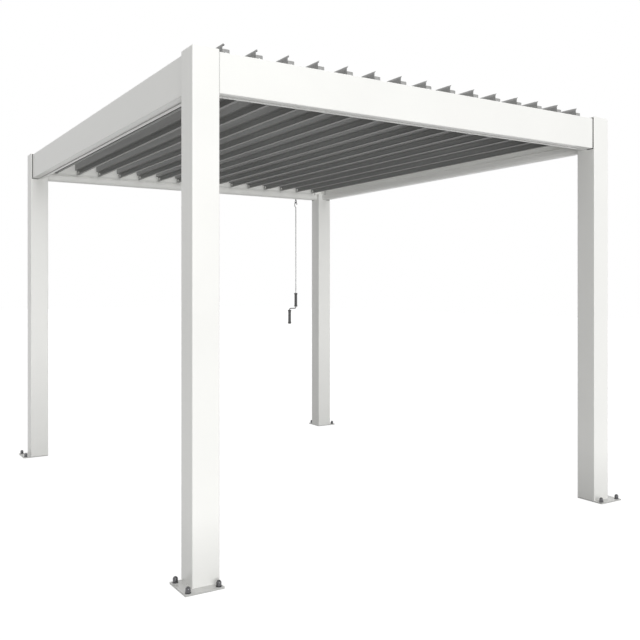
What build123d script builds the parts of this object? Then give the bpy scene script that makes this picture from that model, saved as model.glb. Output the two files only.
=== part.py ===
from build123d import *
import os

os.makedirs("parts", exist_ok=True)

# Sizes are in millimetres. X runs to the right, Y to the back and Z up.
# The origin is on the ground, at the middle of the foot plates.

# Frame
WIDTH = 3000.0  # over the outer faces of the posts, left to right
DEPTH = 3600.0  # over the outer faces of the posts, front to back
POST_SIDE = 140.0
POST_WALL = 2.5
POST_CORNER = 5.0
CAP_TOP = 2566.0  # top of the post caps above the ground
CAP_THICKNESS = 4.0
CAP_EDGE = 2.0  # rounding of the caps' upper edges
BEAM_HEIGHT = 200.0
BEAM_THICKNESS = 50.0
BEAM_WALL = 2.5
BEAM_CORNER = 4.0
BEAM_RECESS = 12.0  # from the outer face of a post to the outer face of a beam
BEAM_DROP = 9.0  # from the top of the post caps to the top of the beams

# Gutters
GUTTER_WIDTH = 38.0
GUTTER_HEIGHT = 48.0
GUTTER_WALL = 2.0
GUTTER_NOSE = 24.0  # radius of the rounded lower inside corner
GUTTER_DROP = 5.0  # below the underside of the beams
NOTCH_CLEARANCE = 10.0  # from the gutter's rim to the floor of the post's notch

# Feet
PLATE_SIDE = 200.0
PLATE_THICKNESS = 8.0
NUT_INSET = 22.0  # from the plate's edges to the anchor's axis
WASHER_RADIUS = 14.0
WASHER_THICKNESS = 2.5
DOME_RADIUS = 12.5
DOME_RISE = 15.5  # of the straight wall under the dome

# Louvres, with sizes measured in the closed position about the pivot:
# "across" runs from the rain channel to the hook and "up" towards the sky
LOUVRE_COUNT = 15
LOUVRE_PITCH = 185.0
LOUVRE_SHIFT = 14.0  # of the middle louvre from the middle of the frame
LOUVRE_INSET = 88.0  # from a post's outer face to the end plates
LOUVRE_WALL = 1.8
BODY_LEFT = 62.0
BODY_RIGHT = 78.0
BODY_UP = 24.0
BODY_DOWN = 15.0
BODY_CORNER = 4.0
CHANNEL_REACH = 101.0  # from the pivot to the channel's outer wall
CHANNEL_LIP = 12.0  # height of the channel's outer wall above the pivot
CHANNEL_CORNER = 8.0
HOOK_STRAIGHT = 11.0  # flat run of the top sheet past the body
HOOK_RADIUS = 24.0
HOOK_TRIM = 34.0  # length at each end where the tip of the hook is cut away
HOOK_TRIM_UP = 14.0  # height above the pivot that is left of the hook there
END_PLATE = 3.0
PIVOT_DROP = 35.0  # from the top of the beams down to the pivots
PIVOT_RADIUS = 6.0
PIVOT_CLEARANCE = 0.2
PIVOT_END_GAP = 0.3  # from the end of a pivot pin to the beam
PIVOT_BUSH_RADIUS = 12.0
PIVOT_BUSH_FLANGE = 17.0
PIVOT_BUSH_LENGTH = 14.0
PIVOT_FLANGE_THICKNESS = 4.0

# Link bar behind the back ends of the louvres
LINK_ACROSS = 78.0  # from the pivot to the link pin
LINK_DOWN = 4.0
LINK_PIN_RADIUS = 4.0
LINK_LUG_RADIUS = 12.0
LINK_CLEARANCE = 0.3
LINK_BAR_THICKNESS = 5.0
LINK_BAR_HEIGHT = 12.0
LINK_BAR_SAG = 18.0  # from the link pins down to the bar's top edge
LINK_BAR_GAP = 5.0  # from the end plates to the bar
LINK_PIN_PROUD = 3.0  # of the link pins past the bar

# Worm drive and crank
DRIVEN_COUNT = 2  # the driven louvre, counted from the right
WORM_OFFSET = 20.0  # from the driven louvre's pivot to the axis of the worm
GEARBOX_WIDTH = 86.0
GEARBOX_HEIGHT = 84.0
HOUSING_EDGE = 3.0
SHAFT_RADIUS = 6.0
SHAFT_CLEARANCE = 0.3
SHAFT_END_GAP = 0.3
EYE_RADIUS = 14.0
EYE_ROD = 3.5
EYE_DROP = 30.0  # from the beam's underside to the middle of the eye
HOOK_ROD = 3.5
HOOK_LOOP = 12.0  # half the width of the hook, between the middles of its sides
HOOK_SEAT = 0.3  # from the hook to the eye that it hangs in
CRANK_ROD = 5.5
HOOK_HANG = 65.0  # from the middle of the eye to where the hook joins the rod
CRANK_LENGTH = 878.0  # from the hook down to the upper grip
UPPER_GRIP_LENGTH = 140.0
GRIP_RADIUS = 14.0
GRIP_FLARE = 3.0  # of the grips' ends past their middle
GRIP_FLARE_LENGTH = 8.0
GRIP_TAPER_LENGTH = 12.0  # from a flared end to the straight middle
GRIP_CORNER = 3.0
GRIP_CLEARANCE = 0.3
GRIP_END_GAP = 0.5
CRANK_ARM = 74.0
CRANK_BEND = 14.0
ARM_GAP = 4.0  # from the upper grip to the start of the bend below it
LOWER_GRIP_LENGTH = 140.0
END_CAP = 4.0

# Levels and faces that follow from the sizes above
post_top = CAP_TOP - CAP_THICKNESS
beam_top = CAP_TOP - BEAM_DROP
beam_bottom = beam_top - BEAM_HEIGHT
beam_inset = BEAM_RECESS + BEAM_THICKNESS  # to a beam's inner wall
gutter_bottom = beam_bottom - GUTTER_DROP
gutter_top = gutter_bottom + GUTTER_HEIGHT
notch_floor = gutter_top + NOTCH_CLEARANCE
plate_reach = PLATE_SIDE - POST_SIDE  # of a foot plate past the outer faces
front_span = WIDTH - 2 * POST_SIDE
side_span = DEPTH - 2 * POST_SIDE
louvre_end = DEPTH / 2 - LOUVRE_INSET  # outer face of the end plates
pin_reach = LOUVRE_INSET - beam_inset - PIVOT_END_GAP
pivot_height = beam_top - PIVOT_DROP
louvre_axes = [
    LOUVRE_SHIFT + (number - (LOUVRE_COUNT - 1) / 2) * LOUVRE_PITCH
    for number in range(LOUVRE_COUNT)
]
link_level = pivot_height - LINK_ACROSS
crank_x = louvre_axes[-DRIVEN_COUNT] + WORM_OFFSET
crank_y = DEPTH / 2 - BEAM_RECESS - BEAM_THICKNESS / 2
housing_bottom = beam_top - BEAM_WALL - GEARBOX_HEIGHT
eye_level = beam_bottom - EYE_DROP
hook_level = eye_level - EYE_RADIUS + EYE_ROD + HOOK_SEAT + HOOK_ROD
hook_foot = eye_level - HOOK_HANG
upper_grip_top = hook_foot - CRANK_LENGTH
upper_grip_bottom = upper_grip_top - UPPER_GRIP_LENGTH
arm_level = upper_grip_bottom - ARM_GAP - CRANK_BEND
lower_grip_top = arm_level - CRANK_BEND - GRIP_END_GAP
lower_grip_bottom = lower_grip_top - LOWER_GRIP_LENGTH


def save(name, shape):
    """Write one piece, or one set of like pieces, to its own file."""
    shape.label = name
    export_step(shape, f"parts/{name}.step")


def corner_places():
    """The four corners: name, side and end, each as -1 or 1."""
    return [
        ("front_left", -1, -1),
        ("front_right", 1, -1),
        ("back_left", -1, 1),
        ("back_right", 1, 1),
    ]


def to_corner(shape, side, end):
    """Carry a piece made for the back right corner to another corner."""
    if side < 0:
        shape = mirror(shape, about=Plane.YZ)
    if end < 0:
        shape = mirror(shape, about=Plane.XZ)
    return shape


def block_sketch(low_x, low_y, high_x, high_y):
    """A rectangle given by two opposite corners."""
    middle = Pos((low_x + high_x) / 2, (low_y + high_y) / 2)
    return middle * Rectangle(high_x - low_x, high_y - low_y)


def post_section(inset, notched):
    """The post's outline at the back right corner, moved in by a wall."""
    side = POST_SIDE - 2 * inset
    radius = POST_CORNER - inset
    centre = Pos(WIDTH / 2 - POST_SIDE / 2, DEPTH / 2 - POST_SIDE / 2)
    outline = centre * RectangleRounded(side, side, radius)
    if notched:
        edge_x = WIDTH / 2 - beam_inset + inset
        edge_y = DEPTH / 2 - beam_inset + inset
        outline -= block_sketch(edge_x - POST_SIDE, edge_y - POST_SIDE, edge_x, edge_y)
    return outline


def post():
    """A square tube whose inside corner is cut back above the gutters."""
    lower = extrude(Pos(0, 0, PLATE_THICKNESS) * post_section(0, False),
                    amount=notch_floor - PLATE_THICKNESS)
    upper = extrude(Pos(0, 0, notch_floor) * post_section(0, True),
                    amount=post_top - notch_floor)
    ledge = notch_floor - POST_WALL
    bore = extrude(Pos(0, 0, PLATE_THICKNESS) * post_section(POST_WALL, False),
                   amount=ledge - PLATE_THICKNESS)
    upper_bore = extrude(Pos(0, 0, ledge) * post_section(POST_WALL, True),
                         amount=post_top - ledge)
    return lower + upper - bore - upper_bore


def post_cap():
    """The flat cap over the post's notched top."""
    cap = extrude(Pos(0, 0, post_top) * post_section(0, True), amount=CAP_THICKNESS)
    return fillet(cap.edges().group_by(Axis.Z)[-1], CAP_EDGE)


def foot_plate():
    """A plate flush with the post's inner faces and proud of its outer ones."""
    outline = block_sketch(WIDTH / 2 - POST_SIDE, DEPTH / 2 - POST_SIDE,
                           WIDTH / 2 + plate_reach, DEPTH / 2 + plate_reach)
    outline = fillet(outline.vertices(), POST_CORNER)
    return extrude(outline, amount=PLATE_THICKNESS)


def anchor_nut():
    """A ground anchor's washer and the domed cap over its nut, as one turned piece."""
    dome_base = WASHER_THICKNESS + DOME_RISE
    dome_top = dome_base + DOME_RADIUS
    outline = make_face(Polyline(
        (0, 0),
        (WASHER_RADIUS, 0),
        (WASHER_RADIUS, WASHER_THICKNESS),
        (DOME_RADIUS, WASHER_THICKNESS),
        (DOME_RADIUS, dome_base))
        + RadiusArc((DOME_RADIUS, dome_base), (0, dome_top), -DOME_RADIUS)
        + Line((0, dome_top), (0, 0)))
    return revolve(Plane.XZ * outline, Axis.Z)


def anchor_places():
    """The three outer corners of the back right foot plate."""
    outer_x = WIDTH / 2 + plate_reach - NUT_INSET
    outer_y = DEPTH / 2 + plate_reach - NUT_INSET
    inner_x = WIDTH / 2 - POST_SIDE + NUT_INSET
    inner_y = DEPTH / 2 - POST_SIDE + NUT_INSET
    return [(outer_x, outer_y), (inner_x, outer_y), (outer_x, inner_y)]


def beam(span):
    """A box beam along X, standing on its underside, with its outer face at Y = 0."""
    section = RectangleRounded(BEAM_THICKNESS, BEAM_HEIGHT, BEAM_CORNER)
    section -= RectangleRounded(BEAM_THICKNESS - 2 * BEAM_WALL, BEAM_HEIGHT - 2 * BEAM_WALL,
                                BEAM_CORNER - BEAM_WALL)
    section = Plane.YZ * Pos(-BEAM_THICKNESS / 2, BEAM_HEIGHT / 2) * section
    return extrude(section, amount=span / 2, both=True)


def gutter(span):
    """An open trough along X, with its back at Y = 0 and a rounded inner nose."""
    outer = block_sketch(-GUTTER_WIDTH, 0, 0, GUTTER_HEIGHT)
    nose = outer.vertices().sort_by_distance((-GUTTER_WIDTH, 0, 0))[0]
    outer = fillet(nose, GUTTER_NOSE)
    inner = block_sketch(-GUTTER_WIDTH + GUTTER_WALL, GUTTER_WALL, -GUTTER_WALL, GUTTER_HEIGHT)
    heel = inner.vertices().sort_by_distance((-GUTTER_WIDTH, 0, 0))[0]
    inner = fillet(heel, GUTTER_NOSE - GUTTER_WALL)
    return extrude(Plane.YZ * (outer - inner), amount=span / 2, both=True)


def strip(path):
    """The louvre's sheet along a path, as a face of the sheet's thickness."""
    return trace(path, LOUVRE_WALL)


def louvre_section():
    """The louvre's extruded section in the closed position, pivot at the origin."""
    half = LOUVRE_WALL / 2
    body = block_sketch(-BODY_LEFT, -BODY_DOWN, BODY_RIGHT, BODY_UP)
    body = fillet(body.vertices(), BODY_CORNER)
    hollow = block_sketch(-BODY_LEFT + LOUVRE_WALL, -BODY_DOWN + LOUVRE_WALL,
                          BODY_RIGHT - LOUVRE_WALL, BODY_UP - LOUVRE_WALL)
    hollow = fillet(hollow.vertices(), BODY_CORNER - LOUVRE_WALL)
    sheet_level = BODY_UP - half
    curl_start = BODY_RIGHT + HOOK_STRAIGHT
    curl = CenterArc((curl_start, sheet_level - HOOK_RADIUS), HOOK_RADIUS, 0, 90)
    sheet = Line((BODY_RIGHT - BODY_CORNER, sheet_level), (curl_start, sheet_level))
    floor_level = -BODY_DOWN + half
    wall_line = -CHANNEL_REACH + half
    bend = CenterArc((wall_line + CHANNEL_CORNER, floor_level + CHANNEL_CORNER),
                     CHANNEL_CORNER, 180, 90)
    floor = Line((wall_line + CHANNEL_CORNER, floor_level),
                 (-BODY_LEFT + BODY_CORNER, floor_level))
    lip = Line((wall_line, floor_level + CHANNEL_CORNER), (wall_line, CHANNEL_LIP))
    section = body - hollow
    for path in (curl, sheet, bend, floor, lip):
        section += strip(path)
    return section


def end_plate_section(with_lug):
    """The plate that closes the body's end, with a lug for the link pin."""
    plate = block_sketch(-BODY_LEFT, -BODY_DOWN, BODY_RIGHT, BODY_UP)
    plate = fillet(plate.vertices(), BODY_CORNER)
    if with_lug:
        plate += block_sketch(-LINK_ACROSS, -LINK_DOWN - LINK_LUG_RADIUS + LOUVRE_WALL,
                              -BODY_LEFT + BODY_CORNER, -LINK_DOWN + LINK_LUG_RADIUS)
        plate += Pos(-LINK_ACROSS, -LINK_DOWN) * Circle(LINK_LUG_RADIUS)
    return plate


def run_back(outline, start, length):
    """An upright outline, drawn in X and Z, run towards the back from Y = start."""
    return extrude(Plane.XZ.offset(-start) * outline, amount=-length)


def pushed(section, start, length):
    """A section drawn in the closed position, stood up open and run back from start."""
    return run_back(Rot(0, 0, 90) * section, start, length)


def louvre():
    """One louvre, standing open with its pivot on the Y axis."""
    plates = louvre_end - END_PLATE
    blade = pushed(louvre_section(), -plates, 2 * plates)
    trim = block_sketch(BODY_RIGHT + HOOK_STRAIGHT, -HOOK_RADIUS,
                        CHANNEL_REACH + HOOK_RADIUS, HOOK_TRIM_UP)
    blade -= pushed(trim, -plates, HOOK_TRIM)
    blade -= pushed(trim, plates - HOOK_TRIM, HOOK_TRIM)
    blade += pushed(end_plate_section(False), -louvre_end, END_PLATE)
    blade += pushed(end_plate_section(True), plates, END_PLATE)
    pivot = Circle(PIVOT_RADIUS)
    blade += pushed(pivot, louvre_end, pin_reach)
    blade += pushed(pivot, -louvre_end - pin_reach, pin_reach)
    link_pin = Pos(-LINK_ACROSS, -LINK_DOWN) * Circle(LINK_PIN_RADIUS)
    blade += pushed(link_pin, louvre_end, LINK_BAR_GAP + LINK_BAR_THICKNESS + LINK_PIN_PROUD)
    return blade


def pivot_bush():
    """A flanged bush on the front beam's inner wall, bored for a pivot pin."""
    bore = Circle(PIVOT_RADIUS + PIVOT_CLEARANCE)
    wall = -DEPTH / 2 + beam_inset
    flange = pushed(Circle(PIVOT_BUSH_FLANGE) - bore, wall, PIVOT_FLANGE_THICKNESS)
    collar = pushed(Circle(PIVOT_BUSH_RADIUS) - bore, wall, PIVOT_BUSH_LENGTH)
    return flange + collar


def link_bar():
    """A comb-like bar that joins the link pins and passes under the pivots when closed."""
    pins = [(axis + LINK_DOWN, link_level) for axis in louvre_axes]
    bar_top = link_level - LINK_BAR_SAG
    outline = block_sketch(pins[0][0] - LINK_LUG_RADIUS, bar_top - LINK_BAR_HEIGHT,
                           pins[-1][0] + LINK_LUG_RADIUS, bar_top)
    for x, level in pins:
        outline += block_sketch(x - LINK_LUG_RADIUS, bar_top - LINK_BAR_HEIGHT / 2,
                                x + LINK_LUG_RADIUS, level)
        outline += Pos(x, level) * Circle(LINK_LUG_RADIUS)
    for x, level in pins:
        outline -= Pos(x, level) * Circle(LINK_PIN_RADIUS + LINK_CLEARANCE)
    return run_back(outline, louvre_end + LINK_BAR_GAP, LINK_BAR_THICKNESS)


def gearbox():
    """The closed worm housing, filling the back beam from wall to wall."""
    depth = BEAM_THICKNESS - 2 * BEAM_WALL
    outline = Pos(crank_x, housing_bottom + GEARBOX_HEIGHT / 2) * RectangleRounded(
        GEARBOX_WIDTH, GEARBOX_HEIGHT, POST_CORNER)
    housing = run_back(outline, crank_y - depth / 2, depth)
    return fillet(housing.edges().filter_by(Axis.X), HOUSING_EDGE)


def drive_eye():
    """The worm's shaft, out through the beam's underside, with the eye at its end."""
    foot = eye_level + EYE_RADIUS
    length = housing_bottom - SHAFT_END_GAP - foot
    shaft = Pos(0, 0, foot + length / 2) * Cylinder(SHAFT_RADIUS, length)
    ring = Pos(0, 0, eye_level) * Rot(0, 90, 0) * Torus(EYE_RADIUS, EYE_ROD)
    return Pos(crank_x, crank_y, 0) * (shaft + ring)


def swept_rod(path, radius):
    """A round rod along a bent line in the upright plane through the crank."""
    path = Plane.XZ * path
    profile = Plane(origin=path @ 0, z_dir=path % 0) * Circle(radius)
    return sweep(profile, path=path)


def crank_rod():
    """The hooked rod of the crank, bent twice for its offset handle."""
    arc_level = hook_level - HOOK_LOOP
    hook_side = FilletPolyline(
        (0, hook_foot),
        (0, hook_foot + HOOK_LOOP / 2),
        (-HOOK_LOOP, hook_foot + 3 * HOOK_LOOP / 2),
        (-HOOK_LOOP, arc_level),
        radius=HOOK_LOOP / 2,
    )
    hook_top = CenterArc((0, arc_level), HOOK_LOOP, 180, -180)
    hook_tip = Line((HOOK_LOOP, arc_level), (HOOK_LOOP, arc_level - HOOK_LOOP))
    hook = swept_rod(Curve() + [hook_side, hook_top, hook_tip], HOOK_ROD)
    rod = swept_rod(FilletPolyline(
        (0, hook_foot + HOOK_ROD),
        (0, arm_level),
        (-CRANK_ARM, arm_level),
        (-CRANK_ARM, lower_grip_bottom - GRIP_END_GAP),
        radius=CRANK_BEND,
    ), CRANK_ROD)
    rim = Cylinder(GRIP_RADIUS - GRIP_CORNER, END_CAP)
    collar = Pos(0, 0, upper_grip_top + GRIP_END_GAP + END_CAP / 2) * rim
    end = Pos(-CRANK_ARM, 0, lower_grip_bottom - GRIP_END_GAP - END_CAP / 2) * rim
    return Pos(crank_x, crank_y, 0) * (hook + rod + collar + end)


def grip(length):
    """A turned handle sleeve with flared ends, bored to spin on the rod."""
    bore = CRANK_ROD + GRIP_CLEARANCE
    flared = GRIP_RADIUS + GRIP_FLARE
    taper_end = GRIP_FLARE_LENGTH + GRIP_TAPER_LENGTH
    outline = make_face(Polyline(
        (bore, 0),
        (flared, 0),
        (flared, GRIP_FLARE_LENGTH),
        (GRIP_RADIUS, taper_end),
        (GRIP_RADIUS, length - taper_end),
        (flared, length - GRIP_FLARE_LENGTH),
        (flared, length),
        (bore, length),
        close=True,
    ))
    ends = outline.vertices().group_by(Axis.Y)
    rims = [ends[0].sort_by(Axis.X)[-1], ends[-1].sort_by(Axis.X)[-1]]
    return revolve(Plane.XZ * fillet(rims, GRIP_CORNER), Axis.Z)


beams = {
    "front": Pos(0, -DEPTH / 2 + BEAM_RECESS, beam_bottom) * Rot(0, 0, 180) * beam(front_span),
    "back": Pos(0, DEPTH / 2 - BEAM_RECESS, beam_bottom) * beam(front_span),
    "left": Pos(-WIDTH / 2 + BEAM_RECESS, 0, beam_bottom) * Rot(0, 0, 90) * beam(side_span),
    "right": Pos(WIDTH / 2 - BEAM_RECESS, 0, beam_bottom) * Rot(0, 0, -90) * beam(side_span),
}
shaft_hole = Pos(crank_x, crank_y, beam_bottom) * Cylinder(
    SHAFT_RADIUS + SHAFT_CLEARANCE, 4 * BEAM_WALL)
beams["back"] -= shaft_hole
for name, shape in beams.items():
    save(f"{name}_beam", shape)

gutters = {
    "front": Pos(0, -DEPTH / 2 + beam_inset, gutter_bottom) * Rot(0, 0, 180) * gutter(front_span),
    "back": Pos(0, DEPTH / 2 - beam_inset, gutter_bottom) * gutter(front_span),
    "left": Pos(-WIDTH / 2 + beam_inset, 0, gutter_bottom) * Rot(0, 0, 90) * gutter(side_span),
    "right": Pos(WIDTH / 2 - beam_inset, 0, gutter_bottom) * Rot(0, 0, -90) * gutter(side_span),
}
for name, shape in gutters.items():
    save(f"{name}_gutter", shape)

post_shape = post()
plate_shape = foot_plate()
caps = []
nuts = []
for name, side, end in corner_places():
    save(f"post_{name}", to_corner(post_shape, side, end))
    save(f"foot_plate_{name}", to_corner(plate_shape, side, end))
    caps.append(to_corner(post_cap(), side, end))
    for x, y in anchor_places():
        nuts.append(Pos(side * x, end * y, PLATE_THICKNESS) * anchor_nut())
save("post_caps", Compound(children=caps))
save("anchor_nuts", Compound(children=nuts))

louvre_shape = louvre()
for number, axis in enumerate(louvre_axes, start=1):
    save(f"louvre_{number:02d}", Pos(axis, 0, pivot_height) * louvre_shape)

bush_shape = pivot_bush()
front_bushes = [Pos(axis, 0, pivot_height) * bush_shape for axis in louvre_axes]
back_bushes = [mirror(bush, about=Plane.XZ) for bush in front_bushes]
save("pivot_bushes_front", Compound(children=front_bushes))
save("pivot_bushes_back", Compound(children=back_bushes))
save("link_bar", link_bar())
save("gearbox", gearbox())
save("drive_eye", drive_eye())
save("crank_rod", crank_rod())
save("upper_grip", Pos(crank_x, crank_y, upper_grip_bottom) * grip(UPPER_GRIP_LENGTH))
lower_x = crank_x - CRANK_ARM
save("lower_grip", Pos(lower_x, crank_y, lower_grip_bottom) * grip(LOWER_GRIP_LENGTH))
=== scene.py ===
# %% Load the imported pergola
import math

import bpy
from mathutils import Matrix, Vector


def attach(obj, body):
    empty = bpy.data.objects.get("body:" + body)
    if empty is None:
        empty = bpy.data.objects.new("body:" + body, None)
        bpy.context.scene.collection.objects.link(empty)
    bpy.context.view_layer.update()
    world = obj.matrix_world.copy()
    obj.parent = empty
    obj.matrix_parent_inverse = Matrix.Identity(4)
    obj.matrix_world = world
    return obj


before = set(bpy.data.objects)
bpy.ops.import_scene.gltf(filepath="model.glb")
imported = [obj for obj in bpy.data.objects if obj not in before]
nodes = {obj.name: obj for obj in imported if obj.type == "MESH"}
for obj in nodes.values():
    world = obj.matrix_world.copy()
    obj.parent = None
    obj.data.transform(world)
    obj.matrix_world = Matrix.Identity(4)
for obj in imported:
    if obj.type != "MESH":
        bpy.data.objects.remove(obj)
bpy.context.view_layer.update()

# %% [markdown]
# The camera stands at eye height, to the left of the pergola's front, and looks level.
# A level camera keeps the posts upright in the picture, as in the photograph. The roof
# sits high in the frame because the lens is shifted a little, not because it is tilted.

# %% Camera
EYE_PLACE = (-2.9439, -5.2325, 1.4074)
EYE_TURN = -0.5645  # to the right of straight ahead, in radians
LENS = 44.0
SHIFT = (-0.0058, -0.0457)

bpy.ops.object.camera_add(location=EYE_PLACE, rotation=(math.pi / 2, 0, EYE_TURN))
camera = bpy.context.object
camera.name = "photo_camera"
camera.data.lens = LENS
camera.data.sensor_width = 36
camera.data.shift_x, camera.data.shift_y = SHIFT
bpy.context.scene.camera = camera
bpy.context.scene.view_settings.view_transform = "Standard"
print("camera at", [round(v, 3) for v in camera.location])

# %% [markdown]
# White powder coat needs light from all round, or its shaded sides go grey and muddy.
# The world gives that, brighter overhead than at the horizon, as a hazy sky is. The light
# from overhead falls between the open louvres and shows their long faces from below. It
# brightens below the horizon in the same way, where only the space in front of the floor
# lets it through. To the camera and to glossy surfaces the world is plain white.

# %% World
SKY_LOW = 0.10
SKY_HIGH = 1.80
SKY_CURVE = 2  # power of the height that the sky brightens with

world = bpy.data.worlds.new("studio_sky")
bpy.context.scene.world = world
world.use_nodes = True
sky = world.node_tree
sky.nodes.clear()


def seen_directly(tree):
    """A factor that is 1 for camera, glossy and transmission rays."""
    path = tree.nodes.new("ShaderNodeLightPath")
    first = tree.nodes.new("ShaderNodeMath")
    first.operation = "MAXIMUM"
    tree.links.new(path.outputs["Is Camera Ray"], first.inputs[0])
    tree.links.new(path.outputs["Is Glossy Ray"], first.inputs[1])
    second = tree.nodes.new("ShaderNodeMath")
    second.operation = "MAXIMUM"
    tree.links.new(first.outputs[0], second.inputs[0])
    tree.links.new(path.outputs["Is Transmission Ray"], second.inputs[1])
    return second.outputs[0]


lit = sky.nodes.new("ShaderNodeBackground")
lit.inputs["Color"].default_value = (1.0, 1.0, 1.0, 1)
direction = sky.nodes.new("ShaderNodeTexCoord")
level = sky.nodes.new("ShaderNodeSeparateXYZ")
sky.links.new(direction.outputs["Generated"], level.inputs["Vector"])
squared = sky.nodes.new("ShaderNodeMath")
squared.operation = "POWER"
squared.inputs[1].default_value = SKY_CURVE
squared.use_clamp = True
sky.links.new(level.outputs["Z"], squared.inputs[0])
climb = sky.nodes.new("ShaderNodeMapRange")
climb.inputs["To Min"].default_value = SKY_LOW
climb.inputs["To Max"].default_value = SKY_HIGH
sky.links.new(squared.outputs[0], climb.inputs["Value"])
sky.links.new(climb.outputs["Result"], lit.inputs["Strength"])
plain = sky.nodes.new("ShaderNodeBackground")
plain.inputs["Color"].default_value = (1, 1, 1, 1)
plain.inputs["Strength"].default_value = 1.0
choose = sky.nodes.new("ShaderNodeMixShader")
sky_out = sky.nodes.new("ShaderNodeOutputWorld")
sky.links.new(seen_directly(sky), choose.inputs["Fac"])
sky.links.new(lit.outputs[0], choose.inputs[1])
sky.links.new(plain.outputs[0], choose.inputs[2])
sky.links.new(choose.outputs[0], sky_out.inputs["Surface"])
print("sky from", SKY_LOW, "at the horizon to", SKY_HIGH, "overhead")

# %% [markdown]
# One large soft panel stands well behind the camera. It makes the front faces brighter
# than the left ones, which is what tells the eye that a white post is square. It reaches
# down below the floor's front edge, as a lamp beside a table top does, so that its light
# climbs under the beams to the gutters and between the louvres.

# %% Soft panel
PANEL_PLACE = (-6.8, -17.0, -0.3)
PANEL_SIZE = (9.5, 4.4)
PANEL_POWER = 1340.0
PANEL_AIM = (0.0, 0.0, 1.6)

bpy.ops.object.light_add(type="AREA", location=PANEL_PLACE)
panel = bpy.context.object
panel.name = "soft_panel"
panel.data.shape = "RECTANGLE"
panel.data.size, panel.data.size_y = PANEL_SIZE
panel.data.energy = PANEL_POWER
beam_of_light = Vector(PANEL_AIM) - Vector(PANEL_PLACE)
panel.rotation_euler = beam_of_light.to_track_quat("-Z", "Y").to_euler()
panel.visible_camera = False
panel.visible_glossy = False
print("panel", PANEL_SIZE, "m at", PANEL_PLACE)

# %% [markdown]
# A lamp at that distance lights the near posts more than the far ones. A weak sun, low and
# straight in front, adds an even share to the front faces of all four posts. It is broad,
# so that it throws no stripes from the louvres.

# %% Even front light
SUN_HEIGHT = math.radians(9)
SUN_BREADTH = math.radians(25)
SUN_STRENGTH = 0.8
SUN_PLACE = (0, -12, 3)

bpy.ops.object.light_add(type="SUN", location=SUN_PLACE,
                         rotation=(math.pi / 2 - SUN_HEIGHT, 0, 0))
sun = bpy.context.object
sun.name = "front_sun"
sun.data.energy = SUN_STRENGTH
sun.data.angle = SUN_BREADTH
print("sun strength", SUN_STRENGTH)

# %% [markdown]
# The floor is as white as the background where the camera looks at it, with a faint
# shadow under the posts. For the light that it throws back up it is a darker grey, like
# paving, so the undersides of the beams keep their shade.

# %% Floor
FLOOR_REACH = 60.0
FLOOR_EDGE = -3.6
PAVING = (0.32, 0.32, 0.315, 1)
SHADOW_SHARE = 0.16
GLOW = 0.91

bpy.ops.object.select_all(action="DESELECT")
bpy.ops.mesh.primitive_plane_add(size=FLOOR_REACH,
                                 location=(0, FLOOR_EDGE + FLOOR_REACH / 2, 0))
floor = bpy.context.object
floor.name = "floor"
paving = bpy.data.materials.new("pale_floor")
paving.use_nodes = True
tree = paving.node_tree
tree.nodes.clear()
bounce = tree.nodes.new("ShaderNodeBsdfDiffuse")
bounce.inputs["Color"].default_value = PAVING
shadowed = tree.nodes.new("ShaderNodeBsdfDiffuse")
shadowed.inputs["Color"].default_value = (SHADOW_SHARE, SHADOW_SHARE, SHADOW_SHARE, 1)
glow = tree.nodes.new("ShaderNodeEmission")
glow.inputs["Strength"].default_value = GLOW
white_floor = tree.nodes.new("ShaderNodeAddShader")
tree.links.new(shadowed.outputs[0], white_floor.inputs[0])
tree.links.new(glow.outputs[0], white_floor.inputs[1])
pick = tree.nodes.new("ShaderNodeMixShader")
floor_out = tree.nodes.new("ShaderNodeOutputMaterial")
tree.links.new(seen_directly(tree), pick.inputs["Fac"])
tree.links.new(bounce.outputs[0], pick.inputs[1])
tree.links.new(white_floor.outputs[0], pick.inputs[2])
tree.links.new(pick.outputs[0], floor_out.inputs["Surface"])
floor.data.materials.append(paving)
print("floor", FLOOR_REACH, "m across")

# %% [markdown]
# Every finish on the pergola starts from the same three parts: a colour that drifts a
# little from place to place, a roughness that drifts too, and a very fine bump. One
# helper makes them, and each finish sets its own sizes.

# %% Finish helper
NOISE_LOW, NOISE_HIGH = 0.3, 0.7  # the span that most of a noise's values lie in


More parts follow.
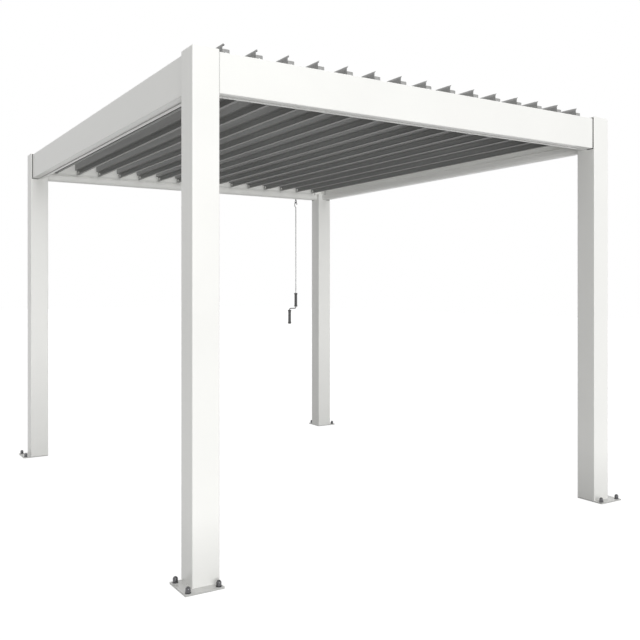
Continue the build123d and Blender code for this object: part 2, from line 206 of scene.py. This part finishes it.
def finish_of(name, colour, drift, drift_size, rough, rough_drift, grain_size, grain_height,
              stretch=(1, 1, 1)):
    """A material with drifting colour and roughness over a fine grain."""
    material = bpy.data.materials.new(name)
    material.use_nodes = True
    tree = material.node_tree
    shader = tree.nodes["Principled BSDF"]
    place = tree.nodes.new("ShaderNodeTexCoord")
    turn = tree.nodes.new("ShaderNodeMapping")
    turn.inputs["Scale"].default_value = stretch
    tree.links.new(place.outputs["Object"], turn.inputs["Vector"])
    cloud = tree.nodes.new("ShaderNodeTexNoise")
    cloud.inputs["Scale"].default_value = 1 / drift_size
    cloud.inputs["Detail"].default_value = 4
    tree.links.new(turn.outputs["Vector"], cloud.inputs["Vector"])
    shades = tree.nodes.new("ShaderNodeValToRGB")
    dark, pale = shades.color_ramp.elements
    dark.position, pale.position = NOISE_LOW, NOISE_HIGH
    dark.color = [c * (1 - drift) for c in colour] + [1]
    pale.color = [min(1, c * (1 + drift)) for c in colour] + [1]
    tree.links.new(cloud.outputs["Fac"], shades.inputs["Fac"])
    tree.links.new(shades.outputs["Color"], shader.inputs["Base Color"])
    polish = tree.nodes.new("ShaderNodeMapRange")
    polish.inputs["From Min"].default_value = NOISE_LOW
    polish.inputs["From Max"].default_value = NOISE_HIGH
    polish.inputs["To Min"].default_value = rough - rough_drift
    polish.inputs["To Max"].default_value = rough + rough_drift
    tree.links.new(cloud.outputs["Fac"], polish.inputs["Value"])
    tree.links.new(polish.outputs["Result"], shader.inputs["Roughness"])
    grain = tree.nodes.new("ShaderNodeTexNoise")
    grain.inputs["Scale"].default_value = 1 / grain_size
    grain.inputs["Detail"].default_value = 2
    tree.links.new(turn.outputs["Vector"], grain.inputs["Vector"])
    bump = tree.nodes.new("ShaderNodeBump")
    bump.inputs["Strength"].default_value = 1.0
    bump.inputs["Distance"].default_value = grain_height
    tree.links.new(grain.outputs["Fac"], bump.inputs["Height"])
    tree.links.new(bump.outputs["Normal"], shader.inputs["Normal"])
    return material


def dress(finish, *names):
    """Gives CAD nodes a finish in place of the plain one they came with."""
    for name in names:
        for place in nodes[name].material_slots:
            place.material = finish


corners = ("front_left", "front_right", "back_left", "back_right")
sides = ("front", "back", "left", "right")
louvres = [f"louvre_{number:02d}" for number in range(1, 16)]
print(len(corners), "posts,", len(louvres), "louvres")

# %% [markdown]
# The posts, beams and gutters are aluminium extrusions under a white polyester powder
# coat. It has a soft gloss and a fine orange peel from the spray, about two millimetres
# from hill to hill.

# %% White powder coat
WHITE = (0.865, 0.865, 0.84)

powder = finish_of("white_powder_coat", WHITE, 0.012, 0.35, 0.31, 0.03, 0.0022, 0.000012)
dress(powder, *[f"post_{c}" for c in corners], *[f"{s}_beam" for s in sides],
      *[f"{s}_gutter" for s in sides], "post_caps")
print("white coat on posts, beams, gutters and caps")

# %% [markdown]
# The foot plates are steel under a thinner coat, painted grey. The grey is partly the coat's
# own and partly painted shade: they lie flat under the open sky, where a pure white would
# look brighter than the posts that stand on them.

# %% Foot plates
# Partly painted shade: this grey keeps the plates' lit tops from reading brighter than the posts.
PLATE_GREY_WITH_SHADE = (0.56, 0.56, 0.545)

plate_coat = finish_of("foot_plate_coat", PLATE_GREY_WITH_SHADE, 0.03, 0.06, 0.30, 0.05, 0.002, 0.00002)
dress(plate_coat, *[f"foot_plate_{c}" for c in corners])
print("grey-white coat on", len(corners), "plates")

# %% [markdown]
# The louvres have a mid grey coat. An extruded section keeps faint lines along its
# length from the die, so the drift of colour is drawn out along Y here.

# %% Grey louvre coat
GREY = (0.33, 0.33, 0.325)

grey = finish_of("grey_louvre_coat", GREY, 0.10, 0.03, 0.62, 0.05, 0.0018, 0.00002,
                 stretch=(1, 0.02, 1))
dress(grey, *louvres)
print("grey coat on", len(louvres), "louvres")

# %% [markdown]
# Small parts: white nylon bushes, a coated link bar, a cast gearbox, dark moulded grips,
# polished dark caps on the ground anchors and a blackened eye for the crank.

# %% Small finishes
def as_metal(finish):
    """Turns a finish into bare metal."""
    finish.node_tree.nodes["Principled BSDF"].inputs["Metallic"].default_value = 1.0
    return finish


nylon = finish_of("white_nylon", (0.82, 0.82, 0.79), 0.02, 0.01, 0.35, 0.05, 0.0012, 0.00003)
bar_coat = finish_of("link_bar_coat", (0.74, 0.74, 0.72), 0.02, 0.1, 0.4, 0.05, 0.002, 0.00002)
casting = as_metal(finish_of("gearbox_casting", (0.42, 0.42, 0.43), 0.06, 0.02, 0.5, 0.08,
                             0.0012, 0.00008))
moulded = finish_of("moulded_grip", (0.075, 0.075, 0.075), 0.08, 0.01, 0.40, 0.06,
                    0.0007, 0.00003)
cap_polish = as_metal(finish_of("anchor_cap_polish", (0.13, 0.13, 0.135), 0.10, 0.006,
                                0.14, 0.04, 0.0008, 0.00001))
black_steel = as_metal(finish_of("blackened_steel", (0.10, 0.10, 0.10), 0.08, 0.01,
                                 0.35, 0.06, 0.0008, 0.00002))
# Painted shadow: this black goes on the rings at the beam ends, in place of the shade in the
# reveal where each beam meets a post.
reveal_shadow_black = finish_of("painted_reveal_shadow", (0.022, 0.022, 0.022), 0.10, 0.02, 0.65, 0.06,
                   0.0009, 0.00004)
dress(nylon, "pivot_bushes_front", "pivot_bushes_back")
dress(bar_coat, "link_bar")
dress(casting, "gearbox")
dress(black_steel, "drive_eye")
dress(moulded, "upper_grip", "lower_grip")
dress(cap_polish, "anchor_nuts")
print("small parts finished")

# %% [markdown]
# The crank is one bent rod, bright zinc over most of its length. Its hook is blackened
# where it rubs in the eye and the offset arm is duller from handling, so the colour
# follows the height above the ground in three steps.

# %% Crank finish
HOOK_FOOT = 2.258
ARM_TOP = 1.25
REACH = 2.6
ARM_SHADE = (0.20, 0.20, 0.20, 1)
ROD_SHADE = (0.47, 0.47, 0.47, 1)
HOOK_SHADE = (0.10, 0.10, 0.10, 1)

rod_zinc = as_metal(finish_of("crank_zinc", (0.50, 0.50, 0.50), 0.05, 0.02, 0.32, 0.08,
                              0.0008, 0.00001))
tree = rod_zinc.node_tree
height = tree.nodes.new("ShaderNodeSeparateXYZ")
tree.links.new(tree.nodes["Texture Coordinate"].outputs["Object"], height.inputs["Vector"])
share = tree.nodes.new("ShaderNodeMath")
share.operation = "DIVIDE"
share.inputs[1].default_value = REACH
tree.links.new(height.outputs["Z"], share.inputs[0])
steps = tree.nodes.new("ShaderNodeValToRGB")
steps.color_ramp.interpolation = "CONSTANT"
steps.color_ramp.elements[0].color = ARM_SHADE
steps.color_ramp.elements[1].position = ARM_TOP / REACH
steps.color_ramp.elements[1].color = ROD_SHADE
blackened = steps.color_ramp.elements.new(HOOK_FOOT / REACH)
blackened.color = HOOK_SHADE
tree.links.new(share.outputs[0], steps.inputs["Fac"])
tree.links.new(steps.outputs["Color"], tree.nodes["Principled BSDF"].inputs["Base Color"])
dress(rod_zinc, "crank_rod")
print("crank in three shades of zinc")

# %% [markdown]
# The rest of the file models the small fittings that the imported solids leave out. Each
# starts as a primitive at its own size and place, is shaped in edit mode, and ends with
# its place in its mesh. These helpers pick an object, pick faces, round edges, run a bar
# and copy a piece.

# %% Modelling helpers
SHARP = math.radians(40)
SMOOTH = math.radians(35)


def only(piece):
    """Leaves one object selected and active."""
    bpy.ops.object.select_all(action="DESELECT")
    piece.select_set(True)
    bpy.context.view_layer.objects.active = piece


def edit_faces(piece, wanted):
    """Opens a piece in edit mode with just the wanted faces selected."""
    only(piece)
    bpy.ops.object.mode_set(mode="EDIT")
    bpy.ops.mesh.select_mode(type="FACE")
    bpy.ops.mesh.select_all(action="DESELECT")
    bpy.ops.object.mode_set(mode="OBJECT")
    for face in piece.data.polygons:
        face.select = wanted(face)
    bpy.ops.object.mode_set(mode="EDIT")


def soften(piece, width, segments):
    """Rounds a piece's sharp edges with a bevel that is applied at once."""
    bpy.ops.object.mode_set(mode="OBJECT")
    only(piece)
    bevel = piece.modifiers.new("rounding", "BEVEL")
    bevel.width = width
    bevel.segments = segments
    bevel.limit_method = "ANGLE"
    bevel.angle_limit = SHARP
    bpy.ops.object.modifier_apply(modifier=bevel.name)


def settle(piece):
    """Writes a piece's place into its mesh and smooths its rounded faces."""
    if bpy.context.mode != "OBJECT":
        bpy.ops.object.mode_set(mode="OBJECT")
    only(piece)
    bpy.ops.object.transform_apply(location=True, rotation=True, scale=True)
    bpy.ops.object.shade_smooth_by_angle(angle=SMOOTH)


def rounded_bar(name, place, size, rounding, segments):
    """A bar of a given size whose edges are all rounded."""
    bpy.ops.object.select_all(action="DESELECT")
    bpy.ops.mesh.primitive_cube_add(size=1, location=place)
    bar = bpy.context.object
    bar.name = bar.data.name = name
    bar.scale = size
    settle(bar)
    soften(bar, rounding, segments)
    settle(bar)
    return bar


def repeat(model, name, shift):
    """A copy of a settled piece with a mesh of its own, moved by shift."""
    only(model)
    bpy.ops.object.duplicate()
    copy = bpy.context.object
    copy.name = copy.data.name = name
    bpy.ops.transform.translate(value=shift)
    bpy.ops.object.transform_apply(location=True, rotation=True, scale=True)
    return copy


def row_of(model, name):
    """The first louvre's piece and fourteen copies, one at every other louvre."""
    return [model] + [repeat(model, f"{name}_{number + 1:02d}", (PITCH * number, 0, 0))
                      for number in range(1, LOUVRE_COUNT)]


def fit(piece, finish, body):
    """Gives a settled piece its finish and the body it rides on."""
    piece.data.materials.clear()
    piece.data.materials.append(finish)
    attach(piece, body)
    return piece


def fit_row(row, finish):
    """Fits a row of pieces to the louvres, first to last."""
    for number, piece in enumerate(row, start=1):
        fit(piece, finish, f"louvre_{number:02d}_body")


LOUVRE_COUNT = 15
PIVOT_HEIGHT = 2.522
PITCH = 0.185
MIDDLE_AXIS = 0.014
first_axis = MIDDLE_AXIS - (LOUVRE_COUNT - 1) / 2 * PITCH
print("louvre axes", LOUVRE_COUNT, "from", round(first_axis, 3))

# %% [markdown]
# A white nylon head closes each link pin inside the louvre's rain channel, just in front
# of the back end plate. It shows as a bright dot near the foot of every louvre. A disc is
# inset and pushed out twice for the dome, and a round socket is sunk in its middle.

# %% Link pin heads
PIN_DROP = 0.078
PIN_SIDE = 0.004
PLATE_INSIDE = 1.709
HEAD_RADIUS = 0.009
HEAD_THICKNESS = 0.004
DOME_STEPS = ((0.0016, 0.0014), (0.0022, 0.0008))  # inset and rise of each
SOCKET_INSET = 0.0016
SOCKET_DEPTH = 0.0018
SMALL_ROUNDING = 0.0004

bpy.ops.object.select_all(action="DESELECT")
bpy.ops.mesh.primitive_cylinder_add(
    vertices=32, radius=HEAD_RADIUS, depth=HEAD_THICKNESS, rotation=(math.pi / 2, 0, 0),
    location=(first_axis + PIN_SIDE, PLATE_INSIDE - HEAD_THICKNESS / 2, PIVOT_HEIGHT - PIN_DROP))
head = bpy.context.object
head.name = head.data.name = "pin_head_01"
edit_faces(head, lambda face: face.normal.z > 0.9)
for width, rise in DOME_STEPS:
    bpy.ops.mesh.inset(thickness=width)
    bpy.ops.transform.translate(value=(0, -rise, 0))
bpy.ops.mesh.inset(thickness=SOCKET_INSET)
bpy.ops.mesh.extrude_region_move(TRANSFORM_OT_translate={"value": (0, SOCKET_DEPTH, 0)})
soften(head, SMALL_ROUNDING, 2)
settle(head)
heads = row_of(head, "pin_head")
fit_row(heads, nylon)
print(len(heads), "pin heads,", len(head.data.polygons), "faces each")

# %% [markdown]
# Two low-headed screws hold each end plate to the ends of the louvre's hollow body.
# One screw is modelled with a six-lobed socket, copied to the four places of the first
# louvre, joined, and then the set is copied along the roof.

# %% End plate screws
SCREW_RADIUS = 0.0042
SCREW_RISE = 0.0018
PLATE_FACE = 1.712
SCREW_SIDE = -0.0045
SCREW_LEVELS = (-0.046, 0.060)
SCREW_SINK = 0.0002
CROWN_INSET = 0.0020
LOBE_SHAPE = (1.0, 0.86, 0.72, 0.86)  # radii round a sixth of the socket
LOBE_DEPTH = 0.0012

bpy.ops.object.select_all(action="DESELECT")
bpy.ops.mesh.primitive_cylinder_add(vertices=24, radius=SCREW_RADIUS, depth=SCREW_RISE,
                                    rotation=(math.pi / 2, 0, 0))
screw = bpy.context.object
edit_faces(screw, lambda face: face.normal.z > 0.9)
bpy.ops.mesh.inset(thickness=CROWN_INSET)
bpy.ops.object.mode_set(mode="OBJECT")
crown = max((face for face in screw.data.polygons if face.normal.z > 0.9),
            key=lambda face: face.center.z - abs(face.center.x) - abs(face.center.y))
for step, corner in enumerate(crown.vertices):
    point = screw.data.vertices[corner].co
    point.xy *= LOBE_SHAPE[step % len(LOBE_SHAPE)]
crown_number = crown.index  # kept as a number, as the face itself goes when the mesh is opened
edit_faces(screw, lambda face: face.index == crown_number)
bpy.ops.mesh.extrude_region_move(TRANSFORM_OT_translate={"value": (0, LOBE_DEPTH, 0)})
soften(screw, SMALL_ROUNDING, 2)
settle(screw)

placed = []
for end, turn in ((-1, 0), (1, math.pi)):
    for level in SCREW_LEVELS:
        only(screw)
        bpy.ops.object.duplicate()
        one = bpy.context.object
        one.rotation_euler.z = turn
        one.location = (first_axis + SCREW_SIDE, end * (PLATE_FACE + SCREW_RISE / 2 - SCREW_SINK),
                        PIVOT_HEIGHT + level)
        placed.append(one)
bpy.data.objects.remove(screw)
only(placed[0])
for one in placed:
    one.select_set(True)
bpy.ops.object.join()
screws = bpy.context.object
screws.name = screws.data.name = "end_screws_01"
settle(screws)
screw_sets = row_of(screws, "end_screws")
screw_zinc = as_metal(finish_of("screw_zinc", (0.55, 0.55, 0.56), 0.05, 0.003, 0.25, 0.05,
                                0.0006, 0.00001))
fit_row(screw_sets, screw_zinc)
print(len(placed) * len(screw_sets), "screws")

# %% [markdown]
# A soft bead is pressed on the edge of every louvre's hook. When the roof is closed it
# hangs over the next louvre's rain channel, and water drips from it there. A thin bar is
# run along the hook and its edges are rounded.

# %% Hook beads
BEAD_SIDE = 0.0031
BEAD_LEVEL = 0.1113
BEAD_WIDTH = 0.0056
BEAD_HEIGHT = 0.0048
BEAD_ROUNDING = 0.0018
HOOK_RUN = 3.35

bead = rounded_bar("hook_bead_01", (first_axis + BEAD_SIDE, 0, PIVOT_HEIGHT + BEAD_LEVEL),
                   (BEAD_WIDTH, HOOK_RUN, BEAD_HEIGHT), BEAD_ROUNDING, 3)
beads = row_of(bead, "hook_bead")
bead_rubber = finish_of("grey_rubber", (0.10, 0.10, 0.10), 0.10, 0.02, 0.6, 0.06,
                        0.0009, 0.00003)
fit_row(beads, bead_rubber)
print(len(beads), "hook beads")

# %% [markdown]
# Where a beam meets a post, a black ring stands out round the beam's end. Its black is painted
# shadow, in place of the shade in the narrow reveal beside the beam's end. A face a little
# larger than the beam's section is given round corners and inset, its middle is deleted,
# and the ring that is left is run a few millimetres along the beam.

# %% Joint seals, black as painted shadow
SEAL_PROUD = 0.0045
SEAL_RUN = 0.0025
SEAL_SINK = 0.0003
BEAM_THICKNESS = 0.050
BEAM_HEIGHT = 0.200
BEAM_CORNER = 0.004
BEAM_MIDDLE = 2.457
POST_FACE_X = 1.36
POST_FACE_Y = 1.66
FRONT_LINE = 1.763
SIDE_LINE = 1.463


def shadow_seal(name, place, across):
    """A ring round a beam's end, starting at place and running in from the post."""
    bpy.ops.object.select_all(action="DESELECT")
    bpy.ops.mesh.primitive_plane_add(size=1, location=place)
    ring = bpy.context.object
    ring.name = ring.data.name = name
    if across == "X":
        ring.rotation_euler = (math.pi / 2, 0, math.pi / 2)
    else:
        ring.rotation_euler = (math.pi / 2, 0, 0)
    ring.scale = (BEAM_THICKNESS + 2 * SEAL_PROUD, BEAM_HEIGHT + 2 * SEAL_PROUD, 1)
    settle(ring)
    bpy.ops.object.mode_set(mode="EDIT")
    bpy.ops.mesh.select_all(action="SELECT")
    bpy.ops.mesh.bevel(offset=BEAM_CORNER, segments=4, affect="VERTICES")
    bpy.ops.mesh.select_mode(type="FACE")
    bpy.ops.mesh.select_all(action="SELECT")
    bpy.ops.mesh.inset(thickness=SEAL_PROUD + SEAL_SINK)
    bpy.ops.mesh.delete(type="FACE")
    bpy.ops.mesh.select_all(action="SELECT")
    inwards = -math.copysign(SEAL_RUN, place[0] if across == "X" else place[1])
    run = (inwards, 0, 0) if across == "X" else (0, inwards, 0)
    bpy.ops.mesh.extrude_region_move(TRANSFORM_OT_translate={"value": run})
    bpy.ops.mesh.select_all(action="SELECT")
    bpy.ops.mesh.normals_make_consistent(inside=False)
    settle(ring)
    return fit(ring, reveal_shadow_black, "frame")


seals = []
for side, sign_x in (("left", -1), ("right", 1)):
    for end, sign_y in (("front", -1), ("back", 1)):
        seals.append(shadow_seal(f"seal_{end}_beam_{side}",
                          (sign_x * POST_FACE_X, sign_y * FRONT_LINE, BEAM_MIDDLE), "X"))
        seals.append(shadow_seal(f"seal_{side}_beam_{end}",
                          (sign_x * SIDE_LINE, sign_y * POST_FACE_Y, BEAM_MIDDLE), "Y"))
print(len(seals), "seals")

# %% [markdown]
# Each gutter hangs five millimetres below its beam, and a grey cord fills that step. Its grey
# is painted shade: it covers the step's lit face so that the underside reads as one even
# band. It is a thin bar with rounded edges.

# %% Step cords, grey as painted shade
CORD_WIDTH = 0.0046
CORD_HEIGHT = 0.0044
CORD_ROUNDING = 0.0012
BEAM_BOTTOM = 2.357
BEAM_INSIDE_X = 1.438
BEAM_INSIDE_Y = 1.738

# Painted shade: this grey covers the lit face of the five-millimetre step under each beam.
step_shade_grey = finish_of("painted_shade_grey", (0.52, 0.52, 0.51), 0.10, 0.01, 0.7, 0.05, 0.0009, 0.00005)
cord_level = BEAM_BOTTOM - CORD_HEIGHT / 2
cord_line_x = BEAM_INSIDE_X + CORD_WIDTH / 2
cord_line_y = BEAM_INSIDE_Y + CORD_WIDTH / 2
long_x = (2 * POST_FACE_X, CORD_WIDTH, CORD_HEIGHT)
long_y = (CORD_WIDTH, 2 * POST_FACE_Y, CORD_HEIGHT)
step_cords = []
for name, place, size in (("front", (0, -cord_line_y, cord_level), long_x),
                          ("back", (0, cord_line_y, cord_level), long_x),
                          ("left", (-cord_line_x, 0, cord_level), long_y),
                          ("right", (cord_line_x, 0, cord_level), long_y)):
    step_cord = rounded_bar(f"step_cord_{name}", place, size, CORD_ROUNDING, 2)
    step_cords.append(fit(step_cord, step_shade_grey, "frame"))
print(len(step_cords), "foam cords")

# %% [markdown]
# A clip-on strip covers the raw inner edge of each gutter. It is a bar as long as the
# gutter, with its long edges rounded, that stands astride the two-millimetre wall.

# %% Gutter strips
RIM_LEVEL = 2.400
RIM_WIDTH = 0.0046
RIM_HEIGHT = 0.0060
RIM_ROUNDING = 0.0015
RIM_INSET = 0.0990  # from the posts' outer faces to the middle of a gutter's inner wall
HALF_WIDTH = 1.5
HALF_DEPTH = 1.8

rim_x, rim_y = HALF_WIDTH - RIM_INSET, HALF_DEPTH - RIM_INSET
rim_long_x = (2 * POST_FACE_X, RIM_WIDTH, RIM_HEIGHT)
rim_long_y = (RIM_WIDTH, 2 * POST_FACE_Y, RIM_HEIGHT)
strips = []
for name, place, size in (("front", (0, -rim_y, RIM_LEVEL), rim_long_x),
                          ("back", (0, rim_y, RIM_LEVEL), rim_long_x),
                          ("left", (-rim_x, 0, RIM_LEVEL), rim_long_y),
                          ("right", (rim_x, 0, RIM_LEVEL), rim_long_y)):
    strip = rounded_bar(f"gutter_strip_{name}", place, size, RIM_ROUNDING, 3)
    strips.append(fit(strip, powder, "frame"))
print(len(strips), "gutter strips")

# %% [markdown]
# A collar against the back beam's underside covers the hole where the drive shaft comes
# out. A disc is inset and pushed down for its sloping skirt, both its ends are inset again
# and the two inner faces are bridged into a bore that clears the shaft.

# %% Shaft collar
SHAFT_PLACE = (1.144, 1.763)
BEAM_UNDERSIDE = 2.357
COLLAR_RADIUS = 0.013
COLLAR_THICKNESS = 0.003
COLLAR_SIDES = 32
SKIRT_WIDTH = 0.003
SKIRT_DROP = 0.0025
SHAFT_BORE = 0.0068

bpy.ops.object.select_all(action="DESELECT")
bpy.ops.mesh.primitive_cylinder_add(
    vertices=COLLAR_SIDES, radius=COLLAR_RADIUS, depth=COLLAR_THICKNESS,
    location=(*SHAFT_PLACE, BEAM_UNDERSIDE - COLLAR_THICKNESS / 2))
collar = bpy.context.object
collar.name = collar.data.name = "shaft_collar"
edit_faces(collar, lambda face: face.normal.z < -0.9)
bpy.ops.mesh.inset(thickness=SKIRT_WIDTH)
bpy.ops.transform.translate(value=(0, 0, -SKIRT_DROP))
bpy.ops.object.mode_set(mode="OBJECT")
edit_faces(collar, lambda face: len(face.vertices) == COLLAR_SIDES)
bpy.ops.mesh.inset(thickness=COLLAR_RADIUS - SKIRT_WIDTH - SHAFT_BORE)
bpy.ops.object.mode_set(mode="OBJECT")
edit_faces(collar, lambda face: len(face.vertices) == COLLAR_SIDES)
bpy.ops.mesh.bridge_edge_loops()
bpy.ops.mesh.select_all(action="SELECT")
bpy.ops.mesh.normals_make_consistent(inside=False)
soften(collar, SMALL_ROUNDING, 2)
settle(collar)
fit(collar, nylon, "frame")
print("collar,", len(collar.data.polygons), "faces")

# %% [markdown]
# A ferrule marks where the crank's rod is joined, a little above the upper grip. It is a
# short sleeve with a waist, made by insetting the wall of a cylinder and shrinking what
# lies inside the inset.

# %% Crank ferrule
FERRULE_MIDDLE = 1.422
FERRULE_RADIUS = 0.0078
FERRULE_LENGTH = 0.018
FERRULE_LIP = 0.006
FERRULE_WAIST = 0.88
FERRULE_ROUNDING = 0.0006

bpy.ops.object.select_all(action="DESELECT")
bpy.ops.mesh.primitive_cylinder_add(vertices=24, radius=FERRULE_RADIUS, depth=FERRULE_LENGTH,
                                    location=(*SHAFT_PLACE, FERRULE_MIDDLE))
ferrule = bpy.context.object
ferrule.name = ferrule.data.name = "crank_ferrule"
edit_faces(ferrule, lambda face: abs(face.normal.z) < 0.1)
bpy.ops.mesh.inset(thickness=FERRULE_LIP)
bpy.ops.transform.resize(value=(FERRULE_WAIST, FERRULE_WAIST, 1))
soften(ferrule, FERRULE_ROUNDING, 2)
settle(ferrule)
fit(ferrule, rod_zinc, "crank")
print("ferrule,", len(ferrule.data.polygons), "faces")
